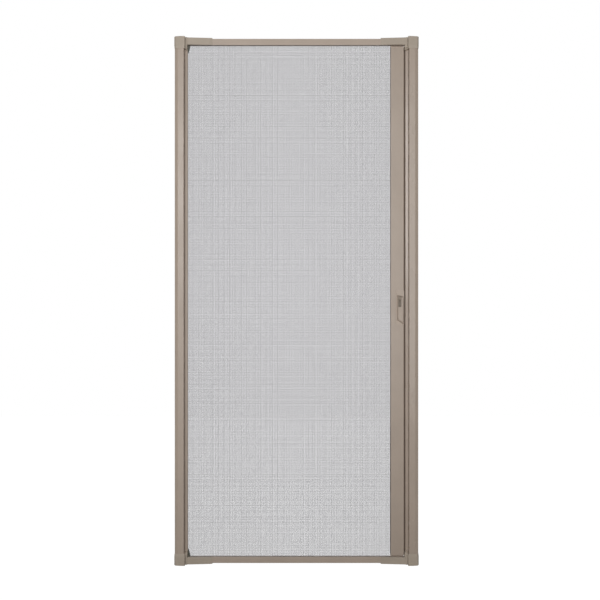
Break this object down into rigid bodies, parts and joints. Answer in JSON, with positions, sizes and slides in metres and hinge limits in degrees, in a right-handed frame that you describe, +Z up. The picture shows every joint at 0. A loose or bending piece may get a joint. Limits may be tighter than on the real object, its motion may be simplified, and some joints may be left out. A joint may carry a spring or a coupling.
{
  "type": "retractable screen door",
  "caption": "Single retractable insect screen door: roller housing, latch jamb, tracks with corner caps, and a handled slide bar that draws the mesh across the doorway.",
  "frame": {"origin": "middle of the bottom track's flat back face, which lies on the wall", "axes": "+X from the roller housing towards the latch jamb, +Y into the wall behind, +Z up; the front faces -Y"},
  "size_m": [0.95, 0.0584, 2.055],
  "materials": {
    "frame_paint": "satin powder coat, sandstone, fine orange peel",
    "bar_paint": "satin powder coat, sandstone",
    "rail_paint": "satin powder coat, sandstone",
    "cap_plastic": "moulded plastic in the frame's colour, lightly grained",
    "handle_plastic": "moulded plastic in the frame's colour, lightly grained",
    "latch_plastic": "dark brown moulded plastic",
    "guide_plastic": "black moulded nylon",
    "shoe_plastic": "moulded plastic in the frame's colour",
    "screen_cloth": "grey vinyl-coated glass-fibre insect screen",
    "pile": "grey polypropylene brush pile",
    "magnet": "black flexible magnetic strip",
    "spline": "black round spline",
    "roller_metal": "mill finish tube",
    "plug_plastic": "natural acetal"
  },
  "bodies": {
    "frame": {"housing_cover": "frame_paint", "housing_rail": "rail_paint", "housing_pile_front": "pile", "housing_pile_back": "pile", "roller_tube": "roller_metal", "roller_plug_top": "plug_plastic", "roller_plug_bottom": "plug_plastic", "screen_mesh": "screen_cloth", "top_track": "frame_paint", "top_pile_front": "pile", "top_pile_back": "pile", "bottom_track": "frame_paint", "bottom_pile_front": "pile", "bottom_pile_back": "pile", "cap_top_left": "cap_plastic", "cap_top_right": "cap_plastic", "cap_bottom_left": "cap_plastic", "cap_bottom_right": "cap_plastic", "guide_top": "guide_plastic", "guide_bottom": "guide_plastic", "jamb_cover": "frame_paint", "jamb_rail": "rail_paint", "jamb_magnet": "magnet"},
    "slide_bar": {"slide_bar": "bar_paint", "mesh_spline": "spline", "bar_magnet": "magnet", "shoe_top": "shoe_plastic", "shoe_bottom": "shoe_plastic", "handle_front": "handle_plastic", "handle_back": "handle_plastic"},
    "thumb_latch": {"thumb_latch": "latch_plastic"}
  },
  "joints": [
    {"name": "screen_slide", "type": "slide", "parent": "frame", "child": "slide_bar", "axis": [1, 0, 0], "range_m": [-0.76, 0], "deforming": ["screen_mesh"]},
    {"name": "latch_slide", "type": "slide", "parent": "slide_bar", "child": "thumb_latch", "axis": [0, 0, 1], "range_m": [0, 0.014]}
  ]
}
